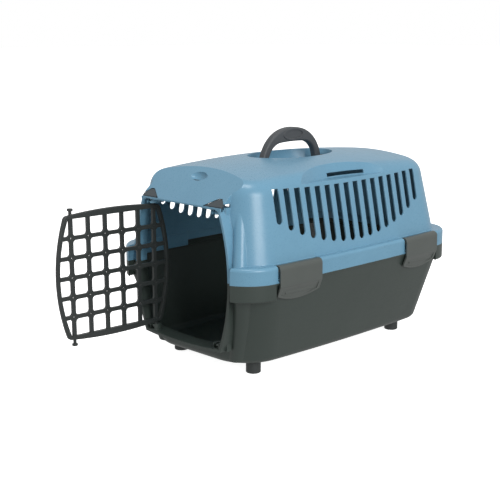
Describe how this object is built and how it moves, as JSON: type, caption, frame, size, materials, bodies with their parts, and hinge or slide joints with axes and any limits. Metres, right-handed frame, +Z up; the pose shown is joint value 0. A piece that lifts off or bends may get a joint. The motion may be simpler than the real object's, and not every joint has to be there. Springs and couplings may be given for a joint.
{
  "type": "pet carrier",
  "caption": "Hard plastic pet carrier with a domed vented top, tub base, side clips, folding arch handle and a barrel-sided grille door standing open.",
  "frame": {"origin": "on the floor, midway between the four feet", "axes": "+Z up, +Y from the door to the rear (length), +X the carrier's width, to the right when facing along +Y"},
  "size_m": [0.315, 0.6273, 0.342],
  "materials": {
    "blue_shell": "satin moulded polypropylene",
    "grey_shell": "satin moulded polypropylene",
    "door_plastic": "satin moulded polypropylene",
    "handle_plastic": "fine grained, with bare oval panels",
    "bearing_plastic": "matte",
    "lock_plastic": "matte",
    "clip_plastic": "satin moulded polypropylene",
    "foot_plastic": "matte"
  },
  "bodies": {
    "shells": {"upper_shell": "blue_shell", "lower_shell": "grey_shell", "handle_bearing_front": "bearing_plastic", "handle_bearing_rear": "bearing_plastic", "foot_front_right": "foot_plastic", "foot_rear_right": "foot_plastic", "foot_front_left": "foot_plastic", "foot_rear_left": "foot_plastic"},
    "door": {"door": "door_plastic"},
    "handle": {"handle": "handle_plastic"},
    "lock_bar": {"lock_bar": "lock_plastic"},
    "clip_front_right": {"clip_front_right": "clip_plastic"},
    "clip_rear_right": {"clip_rear_right": "clip_plastic"},
    "clip_front_left": {"clip_front_left": "clip_plastic"},
    "clip_rear_left": {"clip_rear_left": "clip_plastic"}
  },
  "joints": [
    {"name": "door_swing", "type": "hinge", "parent": "shells", "child": "door", "pos_m": [-0.0712, -0.2193, 0.148], "axis": [0, 0, 1], "range_deg": [-25, 93]},
    {"name": "handle_fold", "type": "hinge", "parent": "shells", "child": "handle", "pos_m": [0, 0, 0.287], "axis": [0, 1, 0], "range_deg": [-60, 60]},
    {"name": "lock_slide", "type": "slide", "parent": "shells", "child": "lock_bar", "axis": [0, 0, 1], "range_m": [-0.003, 0]},
    {"name": "clip_front_right_swing", "type": "hinge", "parent": "shells", "child": "clip_front_right", "pos_m": [0.14885, -0.13889, 0.1655], "axis": [-0.0338, -0.9994, 0], "range_deg": [0, 100]},
    {"name": "clip_rear_right_swing", "type": "hinge", "parent": "shells", "child": "clip_rear_right", "pos_m": [0.14885, 0.13889, 0.1655], "axis": [0.0338, -0.9994, 0], "range_deg": [0, 100]},
    {"name": "clip_front_left_swing", "type": "hinge", "parent": "shells", "child": "clip_front_left", "pos_m": [-0.14885, -0.13889, 0.1655], "axis": [-0.0338, 0.9994, 0], "range_deg": [0, 100]},
    {"name": "clip_rear_left_swing", "type": "hinge", "parent": "shells", "child": "clip_rear_left", "pos_m": [-0.14885, 0.13889, 0.1655], "axis": [0.0338, 0.9994, 0], "range_deg": [0, 100]}
  ]
}
